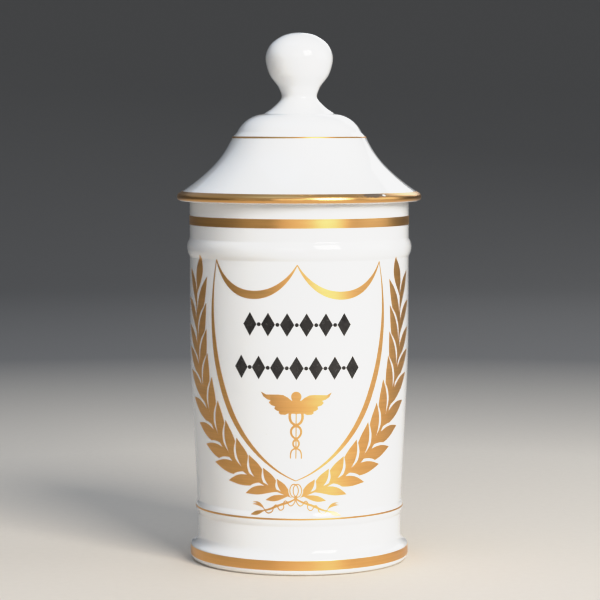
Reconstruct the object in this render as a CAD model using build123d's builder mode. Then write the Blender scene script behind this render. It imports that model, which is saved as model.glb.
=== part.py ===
from build123d import *
from math import cos, pi, radians, sin
import os

# Apothecary jar: a turned porcelain vessel with a lift-off lid, decorated with fired-on gold and
# black enamel. Millimetres, +Z up, origin at the centre of the foot's underside. The painted
# front faces -Y.

# ---- Driving dimensions ------------------------------------------------------------------------

TOTAL_HEIGHT = 270.0

# Vessel, outside
FOOT_RADIUS = 56.0
FOOT_HEIGHT = 8.0
FOOT_EDGE = 3.0
COVE_TOP = 14.0
PLINTH_RADIUS = 52.2
PLINTH_TOP = 24.2
WAIST_RADIUS = 53.4
WAIST_HEIGHT = 27.8
WALL_FOOT = 31.2
WALL_RADIUS = 56.15
WALL_SLOPE = 0.05
WALL_BEND = 105.0
WALL_BEND_REACH = 15.0
BEAD_FOOT = 156.2
BEAD_RADIUS = 57.55
BEAD_HEIGHT = 161.0
BEAD_TOP = 165.4
MOUTH_HEIGHT = 186.0
LIP_EDGE = 1.4

# Vessel, inside and underneath
MOUTH_RADIUS = 52.0
CELLAR_RADIUS = 48.2
FLOOR_HEIGHT = 10.0
FLOOR_COVE = 7.0
RECESS_DEPTH = 3.5
RECESS_RADIUS = 44.0
RING_INNER = 47.5

# Lid, outside
SEAT_GAP = 0.05
SEAT_HEIGHT = MOUTH_HEIGHT + SEAT_GAP
SEAT_RADIUS = 57.4
RIM_RADIUS = 62.5
RIM_ROLL = 2.1
RIM_HEIGHT = 186.45
RIM_SLOPE = 35.0
SLOPE_MIDDLE = (45.2, 200.95)
SHOULDER_RADIUS = 34.1
SHOULDER_HEIGHT = 217.0
DOME_FOOT_RADIUS = 31.8
DOME_FOOT_HEIGHT = 219.3
DOME_TOP_RADIUS = 18.2
DOME_TOP_HEIGHT = 228.6
STEM_RADIUS = 9.0
STEM_HEIGHT = 237.6
KNOB_RADIUS = 17.2
KNOB_HEIGHT = 257.0

# Lid, inside
FLANGE_RADIUS = 50.8
FLANGE_BORE = 47.0
FLANGE_FOOT = 176.0
FLANGE_EDGE = 1.5
CEILING_HEIGHT = 222.5

# Decoration
LAYER = 0.12
LAYER_CORE = 5.0
WALL_GROWTH = (LAYER, 0)
ROLL_GROWTH = (0.87 * LAYER, 0.5 * LAYER)
SLOPE_GROWTH = (0.8 * LAYER, 0.6 * LAYER)
FOOT_BAND = (2.9, 7.8)
WAIST_LINE = (27.7, 28.6)
NECK_BAND = (172.4, 177.0)
RIM_BAND = (184.95, 189.3)
SHOULDER_LINE = (216.35, 217.2)
ORNAMENT_REACH = (28.95, 160.0)
ORNAMENT_RADIUS = 56.0
TIE_SIDE = -1.85
TIE_HEIGHT = 38.5
LEAN = radians(0.45)
OVAL_SIDES = 48
BRANCH_TURN = 45.0

# ---- Turned outlines ---------------------------------------------------------------------------


def wall_radius(height):
    """Outer radius of the tapering wall, before its bend is rounded."""
    return WALL_RADIUS - WALL_SLOPE * max(0.0, WALL_BEND - height)


bend_foot = (wall_radius(WALL_BEND - WALL_BEND_REACH), WALL_BEND - WALL_BEND_REACH)
bend_top = (WALL_RADIUS, WALL_BEND + WALL_BEND_REACH)
wall_thickness = WALL_RADIUS - MOUTH_RADIUS
foot_edge_centre = (FOOT_RADIUS - FOOT_EDGE, FOOT_EDGE)
rim_centre = (RIM_RADIUS - RIM_ROLL, RIM_HEIGHT)
rim_bottom = (rim_centre[0], rim_centre[1] - RIM_ROLL)
rim_top = (
    rim_centre[0] + RIM_ROLL * sin(radians(RIM_SLOPE)),
    rim_centre[1] + RIM_ROLL * cos(radians(RIM_SLOPE)),
)

# Outside of the vessel, from the middle of the underside's plane up to the mouth
with BuildSketch(Plane.XZ) as vessel_outline:
    with BuildLine():
        Polyline((0, MOUTH_HEIGHT), (0, 0), (foot_edge_centre[0], 0))
        CenterArc(foot_edge_centre, FOOT_EDGE, -90, 90)
        Line((FOOT_RADIUS, FOOT_EDGE), (FOOT_RADIUS, FOOT_HEIGHT))
        Line((FOOT_RADIUS, FOOT_HEIGHT), (FOOT_RADIUS - 0.5, FOOT_HEIGHT + 0.6))
        ThreePointArc(
            (FOOT_RADIUS - 0.5, FOOT_HEIGHT + 0.6),
            (PLINTH_RADIUS + 0.9, FOOT_HEIGHT + 2.7),
            (PLINTH_RADIUS, COVE_TOP),
        )
        Line((PLINTH_RADIUS, COVE_TOP), (PLINTH_RADIUS, PLINTH_TOP))
        ThreePointArc(
            (PLINTH_RADIUS, PLINTH_TOP),
            (WAIST_RADIUS, WAIST_HEIGHT),
            (wall_radius(WALL_FOOT), WALL_FOOT),
        )
        Line((wall_radius(WALL_FOOT), WALL_FOOT), bend_foot)
        TangentArc(bend_foot, bend_top, tangent=(WALL_SLOPE, 1))
        Line(bend_top, (WALL_RADIUS, BEAD_FOOT))
        ThreePointArc(
            (WALL_RADIUS, BEAD_FOOT), (BEAD_RADIUS, BEAD_HEIGHT), (WALL_RADIUS, BEAD_TOP)
        )
        Line((WALL_RADIUS, BEAD_TOP), (WALL_RADIUS, MOUTH_HEIGHT - LIP_EDGE))
        CenterArc((WALL_RADIUS - LIP_EDGE, MOUTH_HEIGHT - LIP_EDGE), LIP_EDGE, 0, 90)
        Line((WALL_RADIUS - LIP_EDGE, MOUTH_HEIGHT), (0, MOUTH_HEIGHT))
    make_face()

# Inside of the vessel, from the floor up past the mouth, which flares where it meets the lip
with BuildSketch(Plane.XZ) as vessel_hollow:
    with BuildLine():
        Polyline((0, MOUTH_HEIGHT), (0, FLOOR_HEIGHT), (CELLAR_RADIUS - FLOOR_COVE, FLOOR_HEIGHT))
        CenterArc((CELLAR_RADIUS - FLOOR_COVE, FLOOR_HEIGHT + FLOOR_COVE), FLOOR_COVE, -90, 90)
        Line((CELLAR_RADIUS, FLOOR_HEIGHT + FLOOR_COVE), (CELLAR_RADIUS, WALL_FOOT))
        Line((CELLAR_RADIUS, WALL_FOOT), (bend_top[0] - wall_thickness, bend_top[1]))
        Line((MOUTH_RADIUS, bend_top[1]), (MOUTH_RADIUS, MOUTH_HEIGHT - LIP_EDGE))
        CenterArc((MOUTH_RADIUS + LIP_EDGE, MOUTH_HEIGHT - LIP_EDGE), LIP_EDGE, 180, -90)
        Line((MOUTH_RADIUS + LIP_EDGE, MOUTH_HEIGHT), (0, MOUTH_HEIGHT))
    make_face()

# Recess under the vessel, which leaves a ring to stand on
with BuildSketch(Plane.XZ) as foot_recess:
    with BuildLine():
        Polyline((RING_INNER, 0), (0, 0), (0, RECESS_DEPTH), (RECESS_RADIUS, RECESS_DEPTH))
        Line((RECESS_RADIUS, RECESS_DEPTH), (RING_INNER, 0))
    make_face()

# Outside of the lid, from its seat out round the rolled rim and up to the top of the knob
with BuildSketch(Plane.XZ) as lid_outline:
    with BuildLine():
        Polyline((0, TOTAL_HEIGHT), (0, SEAT_HEIGHT), (SEAT_RADIUS, SEAT_HEIGHT), rim_bottom)
        CenterArc(rim_centre, RIM_ROLL, -90, 180 - RIM_SLOPE)
        lower_slope = ThreePointArc(rim_top, (53.4, 193.85), SLOPE_MIDDLE)
        TangentArc(SLOPE_MIDDLE, (SHOULDER_RADIUS, SHOULDER_HEIGHT), tangent=lower_slope % 1)
        Line((SHOULDER_RADIUS, SHOULDER_HEIGHT), (DOME_FOOT_RADIUS, DOME_FOOT_HEIGHT))
        ThreePointArc(
            (DOME_FOOT_RADIUS, DOME_FOOT_HEIGHT), (27.0, 225.3), (DOME_TOP_RADIUS, DOME_TOP_HEIGHT)
        )
        Spline(
            (DOME_TOP_RADIUS, DOME_TOP_HEIGHT),
            (12.7, 232.6),
            (STEM_RADIUS, STEM_HEIGHT),
            (10.0, 240.9),
            (15.3, 248.9),
            (KNOB_RADIUS, KNOB_HEIGHT),
            tangents=((-1.0, 0.75), (0, 1)),
        )
        Spline(
            (KNOB_RADIUS, KNOB_HEIGHT),
            (15.2, 263.1),
            (9.4, 267.9),
            (0, TOTAL_HEIGHT),
            tangents=((0, 1), (-1, 0)),
        )
    make_face()

# Hollow of the lid, above the flange: it follows the slope and the dome
with BuildSketch(Plane.XZ) as lid_hollow:
    with BuildLine():
        Polyline((0, CEILING_HEIGHT), (0, FLANGE_FOOT), (FLANGE_BORE, FLANGE_FOOT))
        Line((FLANGE_BORE, FLANGE_FOOT), (FLANGE_BORE, SEAT_HEIGHT))
        Spline(
            (FLANGE_BORE, SEAT_HEIGHT),
            (46.2, 193.0),
            (38.6, 201.5),
            (32.0, 211.0),
            (26.0, 218.5),
            (0, CEILING_HEIGHT),
            tangents=((0, 1), (-1, 0)),
        )
    make_face()

# ---- Ornament drawing --------------------------------------------------------------------------
# The ornament is drawn flat, in millimetres across (u, from the tie's axis, positive to the right)
# and up (v, from the foot). It leans a little to the right, and is then wrapped round the wall.


def front_plane(turn):
    """Vertical plane through the jar's axis that faces the front, turned to the right."""
    angle = radians(turn)
    return Plane(
        origin=(0, 0, 0), x_dir=(cos(angle), sin(angle), 0), z_dir=(sin(angle), -cos(angle), 0)
    )


def wrapped(u, v, turn):
    """Place of ornament point (u, v) on the wall, seen square on to front_plane(turn)."""
    rise = v - TIE_HEIGHT
    across = TIE_SIDE + u * cos(LEAN) + rise * sin(LEAN)
    height = TIE_HEIGHT + rise * cos(LEAN) - u * sin(LEAN)
    return wall_radius(height) * sin(across / ORNAMENT_RADIUS - radians(turn)), height


def stroke(points, width, turn=0.0, steps=8, begin=0.0):
    """A brush stroke on a smooth line through points, from the share begin of its length to its
    end; width(t) is its width at the share t."""
    middle = Spline(*points) if len(points) > 2 else Line(*points)
    left = []
    right = []
    for i in range(steps + 1):
        t = begin + (1 - begin) * i / steps
        centre = middle @ t
        along = middle % t
        half = width(t) / 2
        left.append(wrapped(centre.X - half * along.Y, centre.Y + half * along.X, turn))
        right.append(wrapped(centre.X + half * along.Y, centre.Y - half * along.X, turn))
    with BuildSketch() as shape:
        with BuildLine():
            Spline(*left)
            Spline(*right)
            Line(left[0], right[0])
            Line(left[-1], right[-1])
        make_face()
    return shape.sketch


def patch(points, turn=0.0):
    """A straight-sided patch with its corners at points."""
    corners = [wrapped(u, v, turn) for u, v in points]
    with BuildSketch() as shape:
        with BuildLine():
            Polyline(*corners, close=True)
        make_face()
    return shape.sketch


def dot(u, v, radius):
    """A round dot."""
    with BuildSketch() as shape:
        with Locations(wrapped(u, v, 0)):
            Circle(radius)
    return shape.sketch


def oval(u, v, half_width, half_height, turn=0.0):
    """An upright oval patch."""
    angles = [2 * pi * i / OVAL_SIDES for i in range(OVAL_SIDES)]
    return patch([(u + half_width * cos(a), v + half_height * sin(a)) for a in angles], turn)


def drawing(strokes, turn=0.0):
    """All the strokes of one drawing, joined on the plane that they are seen square on to."""
    with BuildSketch(front_plane(turn)) as shape:
        for part_stroke in strokes:
            add(part_stroke)
    return shape.sketch


def as_drawn(points):
    """The points where they are."""
    return points


def mirrored(points):
    """The same points on the other side of the tie's axis."""
    return [(-u, v) for u, v in points]


def even(width):
    """Width of a stroke that is the same all along."""
    return lambda t: width


def swelling(thin, thick, sharpness=1.0):
    """Width of a stroke that starts and ends thin and is thick in the middle."""
    return lambda t: thin + (thick - thin) * abs(sin(pi * t)) ** sharpness


# ---- Laurel branches ---------------------------------------------------------------------------

STEM = [(1.4, 39.0), (14, 44), (31, 53), (45, 66), (55, 82), (61, 100), (63.8, 120), (64.3, 138)]
# How far along the stem a pair of leaves grows, and the tips of its inner and its outer leaf
LEAF_PAIRS = [
    (0.0, (9.8, 48.2), (16.0, 37.4)),
    (0.045, (17.2, 53.4), (27.5, 40.1)),
    (0.10, (25.2, 59.4), (38.4, 45.6)),
    (0.165, (32.6, 67.4), (48.8, 53.8)),
    (0.24, (39.6, 75.8), (57.0, 62.0)),
    (0.33, (45.0, 85.2), (64.4, 72.0)),
    (0.425, (49.2, 96.6), (71.2, 84.2)),
    (0.52, (52.6, 108.4), (74.6, 98.2)),
    (0.61, (53.4, 120.4), (76.8, 110.0)),
    (0.70, (53.7, 133.6), (77.4, 121.4)),
    (0.82, (53.0, 146.8), (78.0, 135.0)),
    (0.92, None, (74.8, 150.0)),
]
TERMINAL_LEAF = [(64.2, 138.0), (60.9, 149.0), (58.9, 157.6)]
TERMINAL_WIDTH = 7.2
LEAF_WIDTH = 6.7
INNER_SLENDERNESS = 0.31
OUTER_SLENDERNESS = 0.245
# How much farther up the stem an outer leaf grows than the inner leaf of its pair
OUTER_LEAD = 0.02
# How closely a leaf follows the stem before it turns to its tip
INNER_CLING = 0.9
OUTER_CLING = 2.4
# Share of the stem over which the leaves next to the tie come to cling so closely
CLING_RISE = 0.08
LEAF_BEND = 0.5
STALK_WIDTHS = (0.9, 1.7)
# White left between a leaf and the next one up the stem: it opens from a point some way along the
# leaf, beyond the foot in which the leaves run together
RESERVE = 1.4
RESERVE_RISE = 5.0
INNER_START = 0.42
OUTER_START = 0.32

# The bow's two oval loops, and the white left round them
LOOP_SIDE = 0.85
LOOP_HEIGHT = 42.5
LOOP_HALF_WIDTH = 2.5
LOOP_HALF_HEIGHT = 3.55
LOOP_RESERVE = 0.35
THREAD = 0.6


def leaf_swell(width):
    """Width of a leaf: narrow foot, fullest past the middle, sharp tip."""
    return lambda t: max(0.25, width * sin(pi * (0.12 + 0.88 * t) ** 1.4))


def reserve_swell(width, start):
    """Width of a leaf with the white beside it, which opens at start and fades at the tip."""
    leaf = leaf_swell(width)
    return lambda t: leaf(t) + 2 * RESERVE * min(1, RESERVE_RISE * (t - start), 4.2 - 4 * t)


def leaf_line(root, direction, tip, cling, side):
    """Middle of a leaf, which leaves between the stem's own direction and that of the leaf's tip."""
    reach = Vector(*tip) - root
    start = (direction * cling + reach.normalized()).normalized()
    bend = root + start * (LEAF_BEND * reach.length)
    middle = root * 0.25 + bend * 0.5 + Vector(*tip) * 0.25
    return [(side * p.X, p.Y) for p in (root, middle, Vector(*tip))]


def bow_loop(u, margin=0.0, turn=0.0):
    """One oval loop of the bow, filled, with a margin all round."""
    return oval(u, LOOP_HEIGHT, LOOP_HALF_WIDTH + margin, LOOP_HALF_HEIGHT + margin, turn)


def branch_sketch(side):
    """One laurel branch: side is 1 on the right and -1 on the left.

    Leaves are laid from the tip of the stem down to the tie, each with white reserved round it.
    A slit that the leaves and the stalk close in between them is painted over.
    """
    turn = side * BRANCH_TURN
    stem = Spline(*STEM)
    leaves = [([(side * u, v) for u, v in TERMINAL_LEAF], TERMINAL_WIDTH, OUTER_START)]
    for place, inner_tip, outer_tip in reversed(LEAF_PAIRS):
        outer_cling = OUTER_CLING * min(1, place / CLING_RISE)
        for tip, lead, slenderness, cling, start in (
            (inner_tip, 0.0, INNER_SLENDERNESS, INNER_CLING, INNER_START),
            (outer_tip, OUTER_LEAD, OUTER_SLENDERNESS, outer_cling, OUTER_START),
        ):
            if tip:
                root = stem @ (place + lead)
                line = leaf_line(root, stem % (place + lead), tip, cling, side)
                width = min(LEAF_WIDTH, slenderness * (Vector(*tip) - root).length)
                leaves.append((line, width, start))
    stem_line = [(side * u, v) for u, v in STEM]
    stalk = stroke(stem_line, swelling(*STALK_WIDTHS), turn, 16)
    branch = stalk
    for line, width, start in leaves:
        reserve = stroke(line, reserve_swell(width, start), turn, begin=start) - stalk
        branch = branch - reserve + stroke(line, leaf_swell(width), turn)
    branch = Sketch() + [Face(shape.outer_wire()) for shape in branch.faces()]
    for u in (-LOOP_SIDE, LOOP_SIDE):
        branch = branch - bow_loop(u, LOOP_RESERVE, turn)
    return drawing([branch], turn)


# ---- Cartouche, caduceus, ribbon and label -----------------------------------------------------

CUSP = (45.1, 155.9)
FLANK = [CUSP, (47.5, 142), (48.1, 129), (46.6, 114), (42.6, 97), (36.8, 82), (27.6, 68), (16.9, 57.4)]
FLANK_END = [(8.0, 51.2), (0, 47.4)]
SCALLOP = [CUSP, (38.5, 146.0), (31.0, 141.0), (22.4, 139.4), (14.0, 141.0), (6.6, 145.8), (0, 154.6)]


def cartouche_sketch():
    """Shield outline: two scallops on top, and flanks that swell and thin out to the point."""
    strokes = []
    for outline in (as_drawn, mirrored):
        strokes.append(stroke(outline(FLANK + FLANK_END), swelling(0.55, 3.45, 1.5), 0, 16))
        strokes.append(stroke(outline(SCALLOP), swelling(0.55, 4.1, 1.2), 0, 12))
    return drawing(strokes)


STAFF_TOP = 88.0
STAFF_FOOT = 58.6
BALL_HEIGHT = 89.5
BALL_RADIUS = 2.6
WING = [
    (0, 88.0),
    (2.4, 87.6),
    (4.2, 89.1),
    (6.6, 90.3),
    (9.0, 90.5),
    (15.4, 90.3),
    (18.1, 91.7),
    (16.7, 89.2),
    (14.9, 88.0),
    (13.1, 87.4),
    (14.0, 86.4),
    (12.8, 85.1),
    (10.7, 84.5),
    (11.2, 83.4),
    (9.9, 82.4),
    (8.7, 82.1),
    (8.9, 81.2),
    (7.8, 80.5),
    (5.5, 80.4),
    (3.8, 81.2),
    (0, 80.9),
]
SNAKE = [
    (-2.9, 81.6),
    (-3.2, 79.0),
    (-2.3, 76.7),
    (0, 75.2),
    (2.1, 73.7),
    (2.6, 71.8),
    (1.9, 69.9),
    (0, 68.3),
    (-1.3, 67.1),
    (-1.5, 65.8),
    (-1.0, 64.6),
    (0.3, 63.7),
    (1.9, 62.9),
    (2.7, 61.2),
    (2.75, 58.6),
]


def caduceus_sketch():
    """Winged staff with two snakes that cross on it."""
    strokes = [dot(0, BALL_HEIGHT, BALL_RADIUS)]
    strokes.append(stroke([(0, STAFF_FOOT), (0, STAFF_TOP)], even(0.6)))
    for outline in (as_drawn, mirrored):
        strokes.append(patch(outline(WING)))
        strokes.append(stroke(outline(SNAKE), lambda t: 1.5 - 0.8 * t, 0, 40))
    return drawing(strokes)


KNOT_RADIUS = 0.8
CUT_STEM = [(0.4, 38.3), (4, 36.5), (9, 34.9), (13, 33.2), (17.2, 32.1)]
CURL = [
    (0.4, 38.2),
    (0.9, 36.0),
    (2.6, 34.8),
    (4.1, 36.0),
    (5.3, 37.3),
    (6.4, 36.2),
    (6.3, 33.9),
    (7.9, 32.5),
    (9.4, 33.8),
    (10.4, 35.1),
    (11.6, 34.2),
    (12.3, 32.2),
    (14.1, 30.9),
    (16.4, 31.8),
]
SPRIGS = [
    ([(16.6, 32.2), (20.4, 30.9), (24.8, 29.7)], 2.0),
    ([(16.4, 32.2), (18.6, 34.1), (23.6, 34.9)], 1.0),
    ([(16.9, 32.6), (19.0, 35.1), (23.4, 36.0)], 0.9),
]


def ribbon_sketch():
    """Bow over the tie, crossed stems below it with a ribbon curling along each, and their sprigs."""
    strokes = [dot(0, TIE_HEIGHT, KNOT_RADIUS)]
    for u in (-LOOP_SIDE, LOOP_SIDE):
        strokes.append(bow_loop(u) - bow_loop(u, -THREAD))
    for outline in (as_drawn, mirrored):
        strokes.append(stroke(outline(CUT_STEM), swelling(0.8, 1.2)))
        strokes.append(stroke(outline(CURL), even(THREAD), 0, 32))
        for points, width in SPRIGS:
            strokes.append(stroke(outline(points), leaf_swell(width)))
    return drawing(strokes)


LOZENGE_WIDTH = 7.2
LOZENGE_PITCH = 9.6
BORDER_HEIGHT = 11.8
BORDER_DOT = 1.0


def border_sketch(count, middle_height):
    """A row of tall lozenges with a dot between each two."""
    half_width = LOZENGE_WIDTH / 2
    half_height = BORDER_HEIGHT / 2
    strokes = []
    for i in range(count):
        u = (i - (count - 1) / 2) * LOZENGE_PITCH
        strokes.append(
            patch(
                [
                    (u - half_width, middle_height),
                    (u, middle_height + half_height),
                    (u + half_width, middle_height),
                    (u, middle_height - half_height),
                ]
            )
        )
        if i:
            strokes.append(dot(u - LOZENGE_PITCH / 2, middle_height, BORDER_DOT))
    return drawing(strokes)


# ---- Fired-on layers ---------------------------------------------------------------------------


def layer_section(outline, reach, growth):
    """Section of a thin layer on a turned outline between two heights, built up by growth."""
    low, high = reach
    with BuildSketch(Plane.XZ) as section:
        with Locations(growth):
            add(outline.sketch_local)
        add(outline.sketch_local, mode=Mode.SUBTRACT)
        with Locations((RIM_RADIUS, (low + high) / 2)):
            Rectangle(2 * (RIM_RADIUS - LAYER_CORE), high - low, mode=Mode.INTERSECT)
    return section.sketch


with BuildPart() as ornament_layer:
    add(layer_section(vessel_outline, ORNAMENT_REACH, WALL_GROWTH))
    revolve(axis=Axis.Z)

# ---- Parts -------------------------------------------------------------------------------------

# Vessel: turned outside, less its hollow and the recess under the foot
with BuildPart() as jar_body:
    with BuildSketch(Plane.XZ):
        add(vessel_outline.sketch_local)
        add(vessel_hollow.sketch_local, mode=Mode.SUBTRACT)
        add(foot_recess.sketch_local, mode=Mode.SUBTRACT)
    revolve(axis=Axis.Z)
jar_body.part.label = "jar_body"

# Lid: turned outside with the locating flange below its seat, less its hollow
with BuildPart() as lid:
    with BuildSketch(Plane.XZ):
        add(lid_outline.sketch_local)
        with Locations((FLANGE_RADIUS / 2, (FLANGE_FOOT + SEAT_HEIGHT + 1) / 2)):
            Rectangle(FLANGE_RADIUS, SEAT_HEIGHT + 1 - FLANGE_FOOT)
        add(lid_hollow.sketch_local, mode=Mode.SUBTRACT)
    revolve(axis=Axis.Z)
    fillet(lid.edges().filter_by(GeomType.CIRCLE).group_by(Axis.Z)[0], FLANGE_EDGE)
lid.part.label = "lid"

# Gold bands and lines turned round the vessel and the lid
with BuildPart() as foot_gilt_band:
    add(layer_section(vessel_outline, FOOT_BAND, WALL_GROWTH))
    revolve(axis=Axis.Z)
foot_gilt_band.part.label = "foot_gilt_band"

with BuildPart() as waist_gilt_line:
    add(layer_section(vessel_outline, WAIST_LINE, WALL_GROWTH))
    revolve(axis=Axis.Z)
waist_gilt_line.part.label = "waist_gilt_line"

with BuildPart() as neck_gilt_band:
    add(layer_section(vessel_outline, NECK_BAND, WALL_GROWTH))
    revolve(axis=Axis.Z)
neck_gilt_band.part.label = "neck_gilt_band"

with BuildPart() as lid_rim_gilt_band:
    add(layer_section(lid_outline, RIM_BAND, ROLL_GROWTH))
    revolve(axis=Axis.Z)
lid_rim_gilt_band.part.label = "lid_rim_gilt_band"

with BuildPart() as lid_shoulder_gilt_line:
    add(layer_section(lid_outline, SHOULDER_LINE, SLOPE_GROWTH))
    revolve(axis=Axis.Z)
lid_shoulder_gilt_line.part.label = "lid_shoulder_gilt_line"

# Painted ornament: each drawing is carried square on through the layer that covers the wall. The
# branches stop at the bow that ties them.
with BuildPart() as ribbon_bow:
    extrude(ribbon_sketch(), amount=RIM_RADIUS)
    add(ornament_layer.part, mode=Mode.INTERSECT)
ribbon_bow.part.label = "ribbon_bow"

with BuildPart() as laurel_branch_right:
    extrude(branch_sketch(1), amount=RIM_RADIUS)
    add(ornament_layer.part, mode=Mode.INTERSECT)
    add(ribbon_bow.part, mode=Mode.SUBTRACT)
laurel_branch_right.part.label = "laurel_branch_right"

with BuildPart() as laurel_branch_left:
    extrude(branch_sketch(-1), amount=RIM_RADIUS)
    add(ornament_layer.part, mode=Mode.INTERSECT)
    add(ribbon_bow.part, mode=Mode.SUBTRACT)
laurel_branch_left.part.label = "laurel_branch_left"

with BuildPart() as cartouche_frame:
    extrude(cartouche_sketch(), amount=RIM_RADIUS)
    add(ornament_layer.part, mode=Mode.INTERSECT)
cartouche_frame.part.label = "cartouche_frame"

with BuildPart() as caduceus_emblem:
    extrude(caduceus_sketch(), amount=RIM_RADIUS)
    add(ornament_layer.part, mode=Mode.INTERSECT)
caduceus_emblem.part.label = "caduceus_emblem"

with BuildPart() as label_border_upper:
    extrude(border_sketch(6, 125.0), amount=RIM_RADIUS)
    add(ornament_layer.part, mode=Mode.INTERSECT)
label_border_upper.part.label = "label_border_upper"

with BuildPart() as label_border_lower:
    extrude(border_sketch(7, 103.6), amount=RIM_RADIUS)
    add(ornament_layer.part, mode=Mode.INTERSECT)
label_border_lower.part.label = "label_border_lower"

os.makedirs("parts", exist_ok=True)
for piece in (
    jar_body,
    lid,
    foot_gilt_band,
    waist_gilt_line,
    neck_gilt_band,
    lid_rim_gilt_band,
    lid_shoulder_gilt_line,
    laurel_branch_right,
    laurel_branch_left,
    cartouche_frame,
    caduceus_emblem,
    ribbon_bow,
    label_border_upper,
    label_border_lower,
):
    export_step(piece.part, f"parts/{piece.part.label}.step")
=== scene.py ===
import bmesh
import bpy
import math
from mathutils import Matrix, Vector
from mathutils.geometry import delaunay_2d_cdt


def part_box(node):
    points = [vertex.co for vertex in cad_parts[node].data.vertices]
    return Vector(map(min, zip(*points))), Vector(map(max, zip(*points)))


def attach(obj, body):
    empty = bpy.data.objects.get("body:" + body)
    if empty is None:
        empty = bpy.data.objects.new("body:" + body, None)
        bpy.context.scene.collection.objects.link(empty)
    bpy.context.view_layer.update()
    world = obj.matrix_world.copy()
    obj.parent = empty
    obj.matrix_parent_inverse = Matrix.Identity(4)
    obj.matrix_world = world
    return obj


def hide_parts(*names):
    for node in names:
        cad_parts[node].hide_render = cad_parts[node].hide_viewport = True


# An apothecary jar of glazed porcelain with a lift-off lid, fired-on gold and black enamel. The
# turned outlines are given in millimetres as (radius, height) and made in metres. The drawn
# ornament takes its outlines from the CAD nodes and is laid on the wall as thin films.

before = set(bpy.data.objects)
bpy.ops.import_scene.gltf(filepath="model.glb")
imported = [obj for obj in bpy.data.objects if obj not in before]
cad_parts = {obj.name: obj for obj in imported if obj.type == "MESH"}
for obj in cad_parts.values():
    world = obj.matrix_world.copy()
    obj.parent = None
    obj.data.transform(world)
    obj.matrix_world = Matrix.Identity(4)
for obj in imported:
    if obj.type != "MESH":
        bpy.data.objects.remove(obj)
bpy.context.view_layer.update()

MM = 0.001

# ---- Sizes, in millimetres, as in the CAD ------------------------------------------------------

TOTAL_HEIGHT = 270.0

# Vessel, outside: places are (radius, height)
FOOT_RADIUS = 56.0
FOOT_HEIGHT = 8.0
FOOT_EDGE = 3.0
FOOT_BEVEL = (55.5, 8.6)
COVE_MIDDLE = (53.1, 10.7)
COVE_TOP = 14.0
PLINTH_RADIUS = 52.2
PLINTH_TOP = 24.2
WAIST_CREST = (53.4, 27.8)
WALL_FOOT = 31.2
WALL_RADIUS = 56.15
WALL_SLOPE = 0.05
WALL_BEND = 105.0
WALL_BEND_REACH = 15.0
BEAD_FOOT = 156.2
BEAD_CREST = (57.55, 161.0)
BEAD_TOP = 165.4
MOUTH_HEIGHT = 186.0
LIP_EDGE = 1.4

# Vessel, inside and underneath
MOUTH_RADIUS = 52.0
MOUTH_FOOT = 120.0
CELLAR_RADIUS = 48.2
FLOOR_HEIGHT = 10.0
FLOOR_COVE = 7.0
RECESS_DEPTH = 3.5
RECESS_RADIUS = 44.0
RING_INNER = 47.5
# The standing ring is bare of glaze below this height and outside this radius
BARE_HEIGHT = 0.8
BARE_RADIUS = 46.5

# Lid, outside
SEAT_RADIUS = 57.4
SEAT_HEIGHT = 186.05
RIM_RADIUS = 62.5
RIM_ROLL = 2.1
RIM_HEIGHT = 186.45
RIM_SLOPE = math.radians(35)
LOWER_SLOPE = (53.4, 193.85)
SLOPE_MIDDLE = (45.2, 200.95)
SHOULDER = (34.1, 217.0)
DOME_FOOT = (31.8, 219.3)
DOME_SIDE = (27.0, 225.3)
DOME_TOP = (18.2, 228.6)
STEM = [(12.7, 232.6), (9.0, 237.6), (10.0, 240.9), (15.3, 248.9)]
KNOB_WIDEST = (17.2, 257.0)
KNOB_CROWN = [(15.2, 263.1), (9.4, 267.9)]

# Lid, inside
FLANGE_RADIUS = 50.8
FLANGE_BORE = 47.0
FLANGE_FOOT = 176.0
FLANGE_EDGE = 1.5
LID_HOLLOW = [(46.2, 193.0), (38.6, 201.5), (32.0, 211.0), (26.0, 218.5), (0.0, 222.5)]

# Decoration: the CAD's layers, and how far the films shown stand off the glaze
CAD_LAYER = 0.12
FILM = 0.05

# Fineness of the turned meshes
ROUND = 288
OUTLINE_STEP = 0.25
OUTLINE_TOLERANCE = 0.004
GLAZE_SOFTENING = 0.35
SOFTENING_REACH = 4
# Places closer than this are one place
SAME_PLACE = 1e-6
SHARP = math.radians(40)

# ---- Turned outlines ---------------------------------------------------------------------------


def line(*points):
    """Straight runs through the points, sampled finely."""
    run = []
    for (r0, z0), (r1, z1) in zip(points, points[1:]):
        count = max(1, math.ceil(math.hypot(r1 - r0, z1 - z0) / OUTLINE_STEP))
        run += [(r0 + (r1 - r0) * i / count, z0 + (z1 - z0) * i / count) for i in range(count)]
    return run + [points[-1]]


def arc(start, middle, end):
    """The arc through three points, sampled finely."""
    (ax, ay), (bx, by), (cx, cy) = start, middle, end
    d = 2 * (ax * (by - cy) + bx * (cy - ay) + cx * (ay - by))
    a2, b2, c2 = ax * ax + ay * ay, bx * bx + by * by, cx * cx + cy * cy
    ux = (a2 * (by - cy) + b2 * (cy - ay) + c2 * (ay - by)) / d
    uy = (a2 * (cx - bx) + b2 * (ax - cx) + c2 * (bx - ax)) / d
    radius = math.hypot(ax - ux, ay - uy)
    first = math.atan2(ay - uy, ax - ux)
    turn = math.tau if (bx - ax) * (cy - ay) - (by - ay) * (cx - ax) > 0 else -math.tau
    sweep = (math.atan2(cy - uy, cx - ux) - first) % turn
    count = max(2, math.ceil(abs(sweep) * radius / OUTLINE_STEP))
    angles = [first + sweep * i / count for i in range(count + 1)]
    return [(ux + radius * math.cos(a), uy + radius * math.sin(a)) for a in angles]


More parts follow.
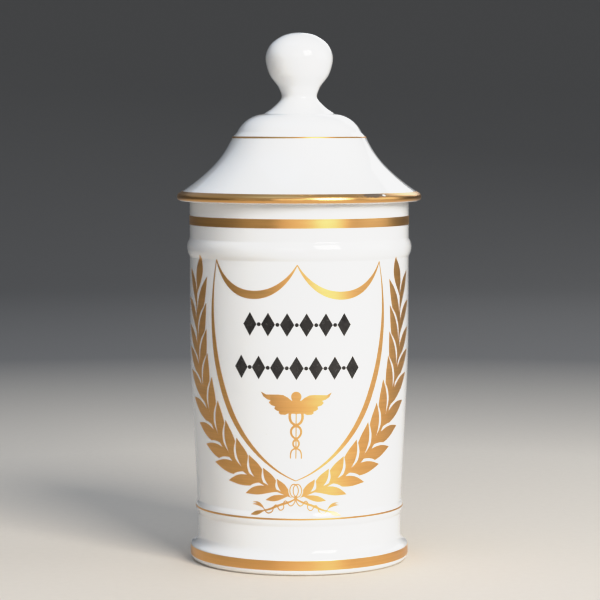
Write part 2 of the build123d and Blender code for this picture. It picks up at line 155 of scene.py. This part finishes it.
def corner(centre, radius, start, sweep):
    """An arc about a centre, angles in radians."""
    count = max(3, math.ceil(abs(sweep) * radius / OUTLINE_STEP))
    angles = [start + sweep * i / count for i in range(count + 1)]
    return [(centre[0] + radius * math.cos(a), centre[1] + radius * math.sin(a)) for a in angles]


def tangent_arc(start, end, tangent):
    """The arc from start to end that leaves along the tangent."""
    tx, ty = tangent
    dx, dy = end[0] - start[0], end[1] - start[1]
    across = tx * dy - ty * dx
    offset = (dx * dx + dy * dy) * math.hypot(tx, ty) / (2 * across)
    nx, ny = -ty / math.hypot(tx, ty), tx / math.hypot(tx, ty)
    centre = (start[0] + nx * offset, start[1] + ny * offset)
    first = math.atan2(start[1] - centre[1], start[0] - centre[0])
    last = math.atan2(end[1] - centre[1], end[0] - centre[0])
    turn = math.tau if offset > 0 else -math.tau
    return corner(centre, abs(offset), first, (last - first) % turn)


def curve(points, start=None, end=None):
    """A smooth curve through the points; start and end are its directions there."""
    spans = [math.dist(a, b) for a, b in zip(points, points[1:])]
    slopes = []
    for i in range(1, len(points) - 1):
        before, after = spans[i - 1], spans[i]
        slope = []
        for axis in (0, 1):
            rise_in = (points[i][axis] - points[i - 1][axis]) / before
            rise_out = (points[i + 1][axis] - points[i][axis]) / after
            slope.append((rise_in * after + rise_out * before) / (before + after))
        slopes.append(slope)
    slopes.insert(0, [c / math.hypot(*start) for c in start])
    slopes.append([c / math.hypot(*end) for c in end])
    run = []
    for i, span in enumerate(spans):
        count = max(2, math.ceil(span / OUTLINE_STEP))
        for step in range(count):
            t = step / count
            weights = (
                2 * t**3 - 3 * t**2 + 1,
                (t**3 - 2 * t**2 + t) * span,
                3 * t**2 - 2 * t**3,
                (t**3 - t**2) * span,
            )
            ends = (points[i], slopes[i], points[i + 1], slopes[i + 1])
            run.append(tuple(sum(w * e[axis] for w, e in zip(weights, ends)) for axis in (0, 1)))
    return run + [points[-1]]


def joined(*runs):
    """One list of points from runs that meet end to end."""
    points = list(runs[0])
    for run in runs[1:]:
        points += run[1:] if math.dist(points[-1], run[0]) < SAME_PLACE else run
    return points


def softened(points):
    """The outline with its corners rounded as a glaze rounds them; its ends stay where they are."""
    reach = SOFTENING_REACH
    weights = [
        math.exp(-0.5 * (i * OUTLINE_STEP / GLAZE_SOFTENING) ** 2) for i in range(-reach, reach + 1)
    ]
    soft = []
    for i, point in enumerate(points):
        near = min(reach, i, len(points) - 1 - i)
        window = weights[reach - near : reach + near + 1]
        around = points[i - near : i + near + 1]
        soft.append(
            tuple(sum(w * p[axis] for w, p in zip(window, around)) / sum(window) for axis in (0, 1))
        )
    return soft


def thinned(points):
    """The outline without the points that a straight line between their neighbours replaces."""
    kept = {0, len(points) - 1}
    spans = [(0, len(points) - 1)]
    while spans:
        first, last = spans.pop()
        (r0, z0), (r1, z1) = points[first], points[last]
        length = max(math.dist(points[first], points[last]), SAME_PLACE)
        worst, place = 0.0, None
        for i in range(first + 1, last):
            r, z = points[i]
            away = abs((r1 - r0) * (z - z0) - (z1 - z0) * (r - r0)) / length
            if away > worst:
                worst, place = away, i
        if worst > OUTLINE_TOLERANCE:
            kept.add(place)
            spans += [(first, place), (place, last)]
    return [points[i] for i in sorted(kept)]


def wall_radius(height):
    """Outer radius of the tapering wall, with its rounded bend."""
    low, high = WALL_BEND - WALL_BEND_REACH, WALL_BEND + WALL_BEND_REACH
    if height >= high:
        return WALL_RADIUS
    if height <= low:
        return WALL_RADIUS - WALL_SLOPE * (WALL_BEND - height)
    return WALL_RADIUS - WALL_SLOPE * (high - height) ** 2 / (4 * WALL_BEND_REACH)


def wall_run(low, high):
    """Outside of the wall between two heights."""
    count = math.ceil((high - low) / OUTLINE_STEP)
    heights = [low + (high - low) * i / count for i in range(count + 1)]
    return [(wall_radius(z), z) for z in heights]


def vessel_outside():
    """From the edge of the standing ring up to the lip."""
    foot_edge = (FOOT_RADIUS - FOOT_EDGE, FOOT_EDGE)
    cove_top = (PLINTH_RADIUS, COVE_TOP)
    plinth_top = (PLINTH_RADIUS, PLINTH_TOP)
    lip = (WALL_RADIUS - LIP_EDGE, MOUTH_HEIGHT - LIP_EDGE)
    return joined(
        line((RING_INNER, 0), (foot_edge[0], 0)),
        corner(foot_edge, FOOT_EDGE, -math.pi / 2, math.pi / 2),
        line((FOOT_RADIUS, FOOT_EDGE), (FOOT_RADIUS, FOOT_HEIGHT), FOOT_BEVEL),
        arc(FOOT_BEVEL, COVE_MIDDLE, cove_top),
        line(cove_top, plinth_top),
        arc(plinth_top, WAIST_CREST, (wall_radius(WALL_FOOT), WALL_FOOT)),
        wall_run(WALL_FOOT, BEAD_FOOT),
        arc((WALL_RADIUS, BEAD_FOOT), BEAD_CREST, (WALL_RADIUS, BEAD_TOP)),
        wall_run(BEAD_TOP, lip[1]),
        corner(lip, LIP_EDGE, 0, math.pi / 2),
    )


def vessel_inside():
    """From the lip down to the middle of the floor."""
    lip = (MOUTH_RADIUS + LIP_EDGE, MOUTH_HEIGHT - LIP_EDGE)
    cove = (CELLAR_RADIUS - FLOOR_COVE, FLOOR_HEIGHT + FLOOR_COVE)
    return joined(
        line((WALL_RADIUS - LIP_EDGE, MOUTH_HEIGHT), (lip[0], MOUTH_HEIGHT)),
        corner(lip, LIP_EDGE, math.pi / 2, math.pi / 2),
        line(
            (MOUTH_RADIUS, lip[1]),
            (MOUTH_RADIUS, MOUTH_FOOT),
            (CELLAR_RADIUS, WALL_FOOT),
            (CELLAR_RADIUS, cove[1]),
        ),
        corner(cove, FLOOR_COVE, 0, -math.pi / 2),
        line((cove[0], FLOOR_HEIGHT), (0, FLOOR_HEIGHT)),
    )


def lid_outside():
    """From the top of the knob down and round the rolled rim to the seat."""
    rim = (RIM_RADIUS - RIM_ROLL, RIM_HEIGHT)
    rim_top = (rim[0] + RIM_ROLL * math.sin(RIM_SLOPE), rim[1] + RIM_ROLL * math.cos(RIM_SLOPE))
    lower = arc(rim_top, LOWER_SLOPE, SLOPE_MIDDLE)
    tangent = (lower[-1][0] - lower[-2][0], lower[-1][1] - lower[-2][1])
    upward = joined(
        line((SEAT_RADIUS, SEAT_HEIGHT), (rim[0], rim[1] - RIM_ROLL)),
        corner(rim, RIM_ROLL, -math.pi / 2, math.pi - RIM_SLOPE),
        lower,
        tangent_arc(SLOPE_MIDDLE, SHOULDER, tangent),
        line(SHOULDER, DOME_FOOT),
        arc(DOME_FOOT, DOME_SIDE, DOME_TOP),
        curve([DOME_TOP] + STEM + [KNOB_WIDEST], (-1, 0.75), (0, 1)),
        curve([KNOB_WIDEST] + KNOB_CROWN + [(0, TOTAL_HEIGHT)], (0, 1), (-1, 0)),
    )
    return upward[::-1]


def lid_inside():
    """From the seat down the locating flange, up its bore and over the hollow to the axis."""
    outer, inner = FLANGE_RADIUS - FLANGE_EDGE, FLANGE_BORE + FLANGE_EDGE
    low = FLANGE_FOOT + FLANGE_EDGE
    return joined(
        line((SEAT_RADIUS, SEAT_HEIGHT), (FLANGE_RADIUS, SEAT_HEIGHT), (FLANGE_RADIUS, low)),
        corner((outer, low), FLANGE_EDGE, 0, -math.pi / 2),
        line((outer, FLANGE_FOOT), (inner, FLANGE_FOOT)),
        corner((inner, low), FLANGE_EDGE, -math.pi / 2, -math.pi / 2),
        line((FLANGE_BORE, low), (FLANGE_BORE, SEAT_HEIGHT)),
        curve([(FLANGE_BORE, SEAT_HEIGHT)] + LID_HOLLOW, (0, 1), (-1, 0)),
    )


# ---- Mesh building -----------------------------------------------------------------------------


def mesh_from(bm, name):
    """A mesh with outward faces, smooth except across edges sharper than SHARP."""
    bmesh.ops.recalc_face_normals(bm, faces=bm.faces)
    for face in bm.faces:
        face.smooth = True
    for edge in bm.edges:
        edge.smooth = edge.is_boundary or edge.calc_face_angle(0) < SHARP
    mesh = bpy.data.meshes.new(name)
    bm.to_mesh(mesh)
    bm.free()
    return mesh


def made_object(name, mesh, materials, body, nodes):
    """A finished piece: its materials, the body it rides on and the CAD nodes it stands for."""
    piece = bpy.data.objects.new(name, mesh)
    bpy.context.scene.collection.objects.link(piece)
    for material in materials:
        mesh.materials.append(material)
    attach(piece, body)
    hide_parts(*nodes)


def turned_mesh(name, outline, material_of=None):
    """A surface turned about the Z axis; a point of the outline on the axis becomes one vertex."""
    bm = bmesh.new()
    rings = []
    for radius, height in outline:
        if radius < SAME_PLACE:
            rings.append([bm.verts.new((0, 0, height * MM))])
            continue
        ring = []
        for i in range(ROUND):
            angle = math.tau * i / ROUND
            x, y = radius * math.cos(angle), radius * math.sin(angle)
            ring.append(bm.verts.new((x * MM, y * MM, height * MM)))
        rings.append(ring)
    for place, (near, far) in enumerate(zip(rings, rings[1:])):
        for i in range(ROUND):
            j = (i + 1) % ROUND
            corners = [near[i % len(near)], near[j % len(near)]]
            corners += [far[j % len(far)], far[i % len(far)]]
            face = bm.faces.new(list(dict.fromkeys(corners)))
            if material_of:
                face.material_index = material_of(outline[place], outline[place + 1])
    return mesh_from(bm, name)


# ---- Material helpers --------------------------------------------------------------------------

# In the recipes below, noise scales are in features per metre, bump distances are in metres, a
# ramp's stops are (position, grey or linear colour), and colours are linear.


class Shader:
    """A node material: each method adds a node and returns its output."""

    def __init__(self, name):
        self.material = bpy.data.materials.new(name)
        self.material.use_nodes = True
        self.nodes = self.material.node_tree.nodes
        self.links = self.material.node_tree.links
        self.surface = self.nodes["Principled BSDF"]
        self.place = self.add("ShaderNodeTexCoord").outputs["Object"]

    def add(self, kind, inputs=None, **settings):
        node = self.nodes.new(kind)
        for key, value in settings.items():
            setattr(node, key, value)
        for key, value in (inputs or {}).items():
            if isinstance(value, bpy.types.NodeSocket):
                self.links.new(value, node.inputs[key])
            else:
                node.inputs[key].default_value = value
        return node

    def stretched(self, scale):
        return self.add("ShaderNodeMapping", {"Vector": self.place, "Scale": scale}).outputs[0]

    def noise(self, vector, scale, detail=2.0, roughness=0.5):
        inputs = {"Vector": vector, "Scale": scale, "Detail": detail, "Roughness": roughness}
        return self.add("ShaderNodeTexNoise", inputs).outputs["Fac"]

    def ramp(self, value, *stops):
        node = self.add("ShaderNodeValToRGB", {"Fac": value})
        elements = node.color_ramp.elements
        while len(elements) < len(stops):
            elements.new(0.5)
        for element, (position, color) in zip(elements, stops):
            element.position = position
            element.color = (*color, 1.0) if isinstance(color, tuple) else (color,) * 3 + (1.0,)
        return node.outputs["Color"]

    def mixed(self, factor, first, second, blend="MIX"):
        node = self.add("ShaderNodeMix", data_type="RGBA", blend_type=blend)
        for number, value in ((0, factor), (6, first), (7, second)):
            socket = node.inputs[number]
            if isinstance(value, bpy.types.NodeSocket):
                self.links.new(value, socket)
            else:
                socket.default_value = value if isinstance(value, float) else (*value, 1.0)
        return node.outputs[2]

    def math(self, operation, first, second=0.0):
        return self.add("ShaderNodeMath", {0: first, 1: second}, operation=operation).outputs[0]

    def bump(self, height, distance, strength=1.0, normal=None):
        inputs = {"Height": height, "Distance": distance, "Strength": strength}
        if normal is not None:
            inputs["Normal"] = normal
        return self.add("ShaderNodeBump", inputs).outputs["Normal"]

    def set(self, **values):
        for key, value in values.items():
            socket = self.surface.inputs[key.replace("_", " ")]
            if isinstance(value, bpy.types.NodeSocket):
                self.links.new(value, socket)
            else:
                socket.default_value = (*value, 1.0) if isinstance(value, tuple) else value
        return self.material


# ---- Materials ---------------------------------------------------------------------------------


def glazed_porcelain():
    """White hard-paste porcelain under a clear glaze that pools a little and has a few specks."""
    s = Shader("glazed_porcelain")
    cloud = s.noise(s.place, 14.0, 3.0)
    body = s.ramp(cloud, (0.3, (0.865, 0.868, 0.862)), (0.7, (0.90, 0.898, 0.885)))
    specks = s.ramp(s.noise(s.place, 900.0, 1.0), (0.80, 1.0), (0.83, (0.55, 0.46, 0.36)))
    color = s.mixed(0.35, body, specks, "MULTIPLY")
    ripple = s.noise(s.place, 45.0, 2.0, 0.4)
    rings = s.noise(s.stretched((6.0, 6.0, 260.0)), 1.0, 1.0)
    low = s.bump(ripple, 0.00006, 1.0)
    normal = s.bump(rings, 0.000012, 1.0, low)
    gloss = s.ramp(s.noise(s.place, 30.0, 4.0, 0.6), (0.35, 0.05), (0.75, 0.11))
    s.set(Base_Color=color, Roughness=gloss, IOR=1.5, Normal=normal)
    s.set(Subsurface_Weight=0.18, Subsurface_Scale=0.004, Subsurface_Radius=Vector((1.0, 0.9, 0.8)))
    return s.set(Coat_Weight=0.5, Coat_Roughness=0.03)


def bare_porcelain():
    """The ground standing ring, where the body shows without glaze."""
    s = Shader("bare_porcelain")
    grit = s.noise(s.place, 1400.0, 3.0, 0.7)
    stain = s.noise(s.place, 70.0, 4.0, 0.6)
    color = s.ramp(stain, (0.35, (0.63, 0.58, 0.50)), (0.6, (0.80, 0.77, 0.71)))
    return s.set(Base_Color=color, Roughness=0.85, Normal=s.bump(grit, 0.00012, 0.8))


def fired_gold(name, roughness, anisotropy, wear=None):
    """Fired gold with the fine level streaks of burnishing; wear says where it is rubbed."""
    s = Shader(name)
    streaks = s.noise(s.stretched((9.0, 9.0, 1500.0)), 1.0, 4.0, 0.65)
    broad = s.noise(s.stretched((18.0, 18.0, 160.0)), 1.0, 3.0, 0.55)
    grain = s.noise(s.place, 1100.0, 2.0)
    tone = s.ramp(broad, (0.30, (0.85, 0.45, 0.14)), (0.70, (0.93, 0.525, 0.185)))
    fine = s.ramp(streaks, (0.30, 0.86), (0.70, 1.0))
    color = s.mixed(0.8, tone, fine, "MULTIPLY")
    rough = s.ramp(s.mixed(0.5, streaks, grain), (0.25, roughness[0]), (0.75, roughness[1]))
    brushed = s.bump(streaks, 0.00001, 0.6)
    normal = s.bump(grain, 0.000005, 0.5, brushed)
    metal = 1.0
    if wear:
        color, rough, metal = worn(s, color, rough, wear)
    level = s.add("ShaderNodeTangent", direction_type="RADIAL", axis="Z").outputs[0]
    s.set(Base_Color=color, Metallic=metal, Roughness=rough, Normal=normal, Tangent=level)
    s.set(Anisotropic=anisotropy, Anisotropic_Rotation=0.25)
    return s.set(Coat_Weight=0.2, Coat_Roughness=0.35)


def nearness(s, middle, reach):
    """A ragged measure that is 0 in the middle of a spot and over 1 outside its reach."""
    away = s.add("ShaderNodeVectorMath", {0: s.place, 1: middle}, operation="SUBTRACT").outputs[0]
    scaled = s.add("ShaderNodeVectorMath", {0: away, 1: reach}, operation="DIVIDE").outputs[0]
    length = s.add("ShaderNodeVectorMath", {0: scaled}, operation="LENGTH").outputs["Value"]
    ragged = s.math("SUBTRACT", s.noise(s.place, 900.0, 4.0, 0.7), 0.5)
    return s.math("ADD", length, s.math("MULTIPLY", ragged, 1.2))


def worn(s, color, rough, rub):
    """Gold rubbed to a dark stain at one spot, with the white glaze bare in one place."""
    stain = s.ramp(nearness(s, *rub["stain"]), (0.55, 0.9), (1.0, 0.0))
    bare = s.ramp(nearness(s, *rub["bare"]), (0.7, 1.0), (1.0, 0.0))
    color = s.mixed(stain, color, (0.070, 0.062, 0.054))
    color = s.mixed(bare, color, (0.86, 0.86, 0.85))
    rough = s.mixed(stain, rough, (0.45, 0.45, 0.45))
    lost = s.math("MAXIMUM", s.math("MULTIPLY", stain, 0.7), bare)
    return color, rough, s.math("SUBTRACT", 1.0, lost)


def black_enamel():
    """Glossy black overglaze enamel, a little browner where the brush left it thin."""
    s = Shader("black_enamel")
    thin = s.noise(s.place, 260.0, 4.0, 0.6)
    color = s.ramp(thin, (0.30, (0.011, 0.010, 0.010)), (0.75, (0.032, 0.029, 0.027)))
    gloss = s.ramp(s.noise(s.place, 500.0, 3.0), (0.3, 0.16), (0.7, 0.30))
    return s.set(Base_Color=color, Roughness=gloss, Normal=s.bump(thin, 0.00003, 0.6))


porcelain = glazed_porcelain()
bisque = bare_porcelain()
# Where the gold on the lid's rim is rubbed: middle and reach, in metres
RIM_RUB = {
    "stain": ((0.0370, -0.0492, 0.1885), (0.0105, 0.0105, 0.0014)),
    "bare": ((0.0420, -0.0450, 0.1885), (0.0012, 0.0012, 0.0007)),
}
band_gold = fired_gold("burnished_gold", (0.33, 0.45), 0.45)
rim_gold = fired_gold("burnished_gold_rim", (0.26, 0.36), 0.5, RIM_RUB)
brush_gold = fired_gold("brushed_gold", (0.40, 0.54), 0.45)
enamel = black_enamel()

# ---- Porcelain ---------------------------------------------------------------------------------


def build_jar():
    """The vessel: outside, lip, inside and the recess under the foot, in one closed skin."""
    underside = line((0, RECESS_DEPTH), (RECESS_RADIUS, RECESS_DEPTH), (RING_INNER, 0))
    outline = thinned(softened(joined(underside, vessel_outside(), vessel_inside())))

    def ring_or_glaze(near, far):
        on_ring = max(near[1], far[1]) < BARE_HEIGHT and min(near[0], far[0]) > BARE_RADIUS
        return 1 if on_ring else 0

    mesh = turned_mesh("jar_porcelain", outline, ring_or_glaze)
    made_object("jar_porcelain", mesh, (porcelain, bisque), "jar", ("jar_body",))


def build_lid():
    """The lid: outside from knob to rim, seat, flange and hollow, in one closed skin."""
    outline = thinned(softened(joined(lid_outside(), lid_inside())))
    mesh = turned_mesh("lid_porcelain", outline)
    made_object("lid_porcelain", mesh, (porcelain,), "lid", ("lid",))


build_jar()
build_lid()

# ---- Gold bands --------------------------------------------------------------------------------


def radius_at(outline, height):
    """Radius of an outline at a height it rises through, or the wall's where there is none."""
    for (r0, z0), (r1, z1) in zip(outline, outline[1:]):
        if z0 <= height < z1:
            return r0 + (r1 - r0) * (height - z0) / (z1 - z0)
    return WALL_RADIUS


def clipped(outline, low, high):
    """The part of an outline between two heights, where it rises past both."""
    start = max(i for i, point in enumerate(outline) if point[1] <= low)
    between = [point for point in outline[start + 1 :] if point[1] < high]
    return [(radius_at(outline, low), low)] + between + [(radius_at(outline, high), high)]


def build_band(node, body, outline, gold=band_gold):
    """A gold band on a turned outline, between the heights of its CAD node."""
    low, high = (place.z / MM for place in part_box(node))
    run = thinned(clipped(outline, low, high))
    shown = []
    for i, (radius, height) in enumerate(run):
        before, after = run[max(i - 1, 0)], run[min(i + 1, len(run) - 1)]
        across, up = after[0] - before[0], after[1] - before[1]
        length = math.hypot(across, up)
        shown.append((radius + FILM * up / length, height - FILM * across / length))
    (r0, z0), (r1, z1) = run[0], run[-1]
    outline = [(r0 - FILM, z0)] + shown + [(r1 - FILM, z1)]
    made_object(
        node.replace("gilt", "gold"), turned_mesh(node, outline), (gold,), body, (node,)
    )


vessel_edge = vessel_outside()
vessel_glaze = softened(vessel_edge)
lid_glaze = softened(lid_outside()[::-1])
build_band("foot_gilt_band", "jar", vessel_glaze)
build_band("waist_gilt_line", "jar", vessel_glaze)
build_band("neck_gilt_band", "jar", vessel_glaze)
build_band("lid_rim_gilt_band", "lid", lid_glaze, rim_gold)
build_band("lid_shoulder_gilt_line", "lid", lid_glaze)

# ---- Drawn ornament ----------------------------------------------------------------------------

UNROLL_RADIUS = 56.0
# Decimal places of a millimetre to which a CAD mesh's vertices are taken to meet
WELD_DIGITS = 3
# Least cosine between straight out and the normal of a face on a layer's outside
OUTWARD = 0.5
# Spacing of the film's inner points, the meshing tolerance, and how far the film's edge goes in
FILM_CELL = 1.2
FILM_TOLERANCE = 1e-5
SKIRT = 2 * FILM


def welded(mesh):
    """A CAD mesh's places in millimetres, each once, and the number of each vertex's place."""
    places, numbers, place_of = [], {}, []
    for vertex in mesh.vertices:
        place = tuple(c / MM for c in vertex.co)
        key = tuple(round(c, WELD_DIGITS) for c in place)
        if key not in numbers:
            numbers[key] = len(places)
            places.append(place)
        place_of.append(numbers[key])
    return places, place_of


def on_outside(face, corners):
    """Whether a face is on the outer side of a CAD layer, not on its edge or its back."""
    x, y, _ = face.center
    out = face.normal.x * x + face.normal.y * y > OUTWARD * math.hypot(x, y)
    half = CAD_LAYER / 2
    return out and all(math.hypot(x, y) > radius_at(vessel_edge, z) + half for x, y, z in corners)


def border(faces):
    """The edges that only one of the faces has, each in its face's direction."""
    edges = {}
    for ids in faces:
        for a, b in zip(ids, ids[1:] + ids[:1]):
            if (b, a) in edges:
                del edges[(b, a)]
            else:
                edges[(a, b)] = True
    return list(edges)


def chained(edges):
    """The edges end to end, as closed loops."""
    following = {}
    for a, b in edges:
        following.setdefault(a, []).append(b)
    loops = []
    while following:
        here = next(iter(following))
        loop = []
        while here in following:
            loop.append(here)
            nexts = following[here]
            there = nexts.pop()
            if not nexts:
                del following[here]
            here = there
        loops.append(loop)
    return loops


def unrolled_loops(node):
    """Edges of a CAD layer's outer face as closed loops, unrolled: (round the wall, height)."""
    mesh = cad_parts[node].data
    places, place_of = welded(mesh)
    outside = []
    for face in mesh.polygons:
        ids = [place_of[v] for v in face.vertices]
        if len(set(ids)) == len(ids) and on_outside(face, [places[i] for i in ids]):
            outside.append(ids)
    loops = []
    for loop in chained(border(outside)):
        if len(loop) > 2:
            corners = [places[i] for i in loop]
            loops.append([Vector((math.atan2(x, -y) * UNROLL_RADIUS, z)) for x, y, z in corners])
    return loops


def inside(point, loops):
    """Whether a point lies inside an odd number of loops."""
    odd = False
    x, y = point
    for loop in loops:
        for a, b in zip(loop, loop[1:] + loop[:1]):
            if (a.y > y) != (b.y > y) and x < a.x + (b.x - a.x) * (y - a.y) / (b.y - a.y):
                odd = not odd
    return odd


def spots_inside(loops):
    """Points on an even grid inside the loops."""
    border_points = [point for loop in loops for point in loop]
    low = Vector([min(p[axis] for p in border_points) for axis in (0, 1)])
    high = Vector([max(p[axis] for p in border_points) for axis in (0, 1)])
    columns, rows = (math.ceil(length / FILM_CELL) for length in high - low)
    spots = [
        low + Vector(((i + 0.5) * FILM_CELL, (j + 0.5) * FILM_CELL))
        for i in range(columns)
        for j in range(rows)
    ]
    return [spot for spot in spots if inside(spot, loops)]


def on_wall(spot):
    """The place in metres of an unrolled point, raised off the glaze by the film."""
    angle = spot.x / UNROLL_RADIUS
    radius = radius_at(vessel_glaze, spot.y) + FILM
    return (radius * math.sin(angle) * MM, -radius * math.cos(angle) * MM, spot.y * MM)


def add_skirt(bm):
    """Close the film's edge down into the wall, in the same order each time."""
    below = {}
    for edge in [e for e in bm.edges if e.is_boundary]:
        for vertex in edge.verts:
            if vertex not in below:
                x, y, z = vertex.co
                inward = 1 - SKIRT * MM / vertex.co.xy.length
                below[vertex] = bm.verts.new((x * inward, y * inward, z))
        a, b = edge.verts
        bm.faces.new((b, below[b], below[a], a))


def build_film(node, material):
    """A thin fired-on film with the outline of a CAD layer, laid on the turned wall."""
    loops = unrolled_loops(node)
    points, edges = [], []
    for loop in loops:
        first = len(points)
        points += loop
        edges += [(first + i, first + (i + 1) % len(loop)) for i in range(len(loop))]
    points += spots_inside(loops)
    flat, _, faces, _, _, _ = delaunay_2d_cdt(points, edges, [], 0, FILM_TOLERANCE)
    bm = bmesh.new()
    top = [bm.verts.new(on_wall(spot)) for spot in flat]
    for face in faces:
        middle = sum((flat[i] for i in face), Vector((0, 0))) / len(face)
        if inside(middle, loops):
            bm.faces.new([top[i] for i in face])
    loose = [v for v in bm.verts if not v.link_faces]
    bmesh.ops.delete(bm, geom=loose, context="VERTS")
    add_skirt(bm)
    name = node + "_film"
    made_object(name, mesh_from(bm, name), (material,), "jar", (node,))


for node in (
    "laurel_branch_left",
    "laurel_branch_right",
    "cartouche_frame",
    "caduceus_emblem",
    "ribbon_bow",
):
    build_film(node, brush_gold)
for node in ("label_border_upper", "label_border_lower"):
    build_film(node, enamel)

# ---- Floor and backdrop ------------------------------------------------------------------------

# In metres
FLOOR_RADIUS = 2.0
SWEEP_RADIUS = 1.1
WALL_HEIGHT = 1.4
# Distance over which the painted light falls off from the pale middle to the dark walls
PAINTED_FALLOFF_REACH = 3.0
FLOOR_STEPS = 12
SWEEP_STEPS = 16


def studio_sweep():
    """A pale floor that curves up into a wall all round; its pale middle is a painted pool of
    light, and it darkens away from the middle as painted falloff.
    """
    s = Shader("studio_sweep")
    spot = s.add("ShaderNodeSeparateXYZ", {0: s.place}).outputs
    across = s.math("ADD", s.math("POWER", spot[0], 2.0), s.math("POWER", spot[1], 2.0))
    radius = s.math("SQRT", across)
    height = s.math("MAXIMUM", spot[2], 0.0)
    away = s.math("ADD", radius, height)
    paper = s.noise(s.place, 220.0, 3.0)
    # Painted light: the warm straw tone is the floor's own, the pale middle is a painted pool of
    # light, and the dark further out is painted falloff that the jar reflects
    tone = s.ramp(
        s.math("DIVIDE", away, PAINTED_FALLOFF_REACH),
        (0.0, (0.74, 0.665, 0.575)),
        (0.14, (0.70, 0.645, 0.57)),
        (0.36, (0.21, 0.205, 0.20)),
        (1.0, (0.12, 0.118, 0.115)),
    )
    color = s.mixed(0.08, tone, s.ramp(paper, (0.3, 0.7), (0.7, 1.0)), "MULTIPLY")
    s.set(Base_Color=color, Roughness=0.9, Specular_IOR_Level=0.1)
    s.set(Normal=s.bump(paper, 0.0002, 0.3))
    outline = [(FLOOR_RADIUS * i / FLOOR_STEPS, 0.0) for i in range(FLOOR_STEPS + 1)]
    for i in range(1, SWEEP_STEPS + 1):
        angle = math.pi / 2 * i / SWEEP_STEPS
        out, up = SWEEP_RADIUS * math.sin(angle), SWEEP_RADIUS * (1 - math.cos(angle))
        outline.append((FLOOR_RADIUS + out, up))
    outline.append((FLOOR_RADIUS + SWEEP_RADIUS, WALL_HEIGHT))
    mesh = turned_mesh("studio_sweep", [(r / MM, z / MM) for r, z in outline])
    mesh.flip_normals()
    mesh.materials.append(s.material)
    sweep = bpy.data.objects.new("studio_sweep", mesh)
    bpy.context.scene.collection.objects.link(sweep)


studio_sweep()

# ---- Light -------------------------------------------------------------------------------------

AIM = Vector((0, 0, 0.13))


def softbox(name, azimuth, elevation, distance, size, power, color):
    """An area light that looks at the jar, in degrees, metres and watts.

    The azimuth runs from the front to the right.
    """
    a, e = math.radians(azimuth), math.radians(elevation)
    out = Vector((math.sin(a) * math.cos(e), -math.cos(a) * math.cos(e), math.sin(e)))
    data = bpy.data.lights.new(name, "AREA")
    data.shape = "RECTANGLE"
    data.size, data.size_y = size
    data.energy = power
    data.color = color
    lamp = bpy.data.objects.new(name, data)
    bpy.context.scene.collection.objects.link(lamp)
    lamp.location = AIM + out * distance
    lamp.rotation_mode = "QUATERNION"
    lamp.rotation_quaternion = (-out).to_track_quat("-Z", "Y")
    lamp.visible_camera = False


softbox("key", 31, 30, 2.1, (0.9, 1.1), 48.0, (1.0, 0.975, 0.94))
softbox("front_fill", -8, 16, 2.3, (1.2, 1.0), 7.0, (1.0, 0.97, 0.93))
softbox("left_card", -50, 12, 2.2, (1.0, 1.0), 1.4, (1.0, 0.95, 0.88))
softbox("right_card", 86, 16, 2.1, (1.6, 1.2), 8.0, (0.97, 0.98, 1.0))
softbox("sky_left", -70, 76, 2.0, (1.1, 1.1), 4.0, (0.38, 0.62, 1.0))
softbox("back_fill", 160, 26, 2.3, (1.3, 1.0), 6.0, (0.96, 0.98, 1.0))

world = bpy.data.worlds.new("soft_sky")
world.use_nodes = True
sky = world.node_tree.nodes["Background"]
sky.inputs["Color"].default_value = (0.80, 0.88, 1.0, 1.0)
sky.inputs["Strength"].default_value = 0.38
bpy.context.scene.world = world

# A camera's tone: (share of WHITE, brightness shown), even at first and then easing towards white
WHITE = 2.0
TONE = [(0.0, 0.0), (0.2, 0.4), (0.37, 0.74), (0.45, 0.84)]
TONE += [(0.55, 0.885), (0.75, 0.93), (1.0, 0.97)]

view = bpy.context.scene.view_settings
view.view_transform = "Standard"
view.look = "None"
view.use_curve_mapping = True
view.curve_mapping.white_level = (WHITE, WHITE, WHITE)
tone = view.curve_mapping.curves[3]
while len(tone.points) < len(TONE):
    tone.points.new(0.5, 0.5)
for point, place in zip(tone.points, TONE):
    point.location = place
view.curve_mapping.update()

# ---- Camera ------------------------------------------------------------------------------------

CAMERA_DISTANCE = 1.248
CAMERA_HEIGHT = 0.2247
CAMERA_SIDE = 0.0004
CAMERA_TILT = math.radians(4.19)
LENS = 146.1

camera = bpy.data.objects.new("camera", bpy.data.cameras.new("camera"))
bpy.context.scene.collection.objects.link(camera)
camera.location = (CAMERA_SIDE, -CAMERA_DISTANCE, CAMERA_HEIGHT)
camera.rotation_euler = (math.pi / 2 - CAMERA_TILT, 0, 0)
camera.data.lens = LENS
camera.data.sensor_width = 36.0
camera.data.clip_start = 0.01
bpy.context.scene.camera = camera
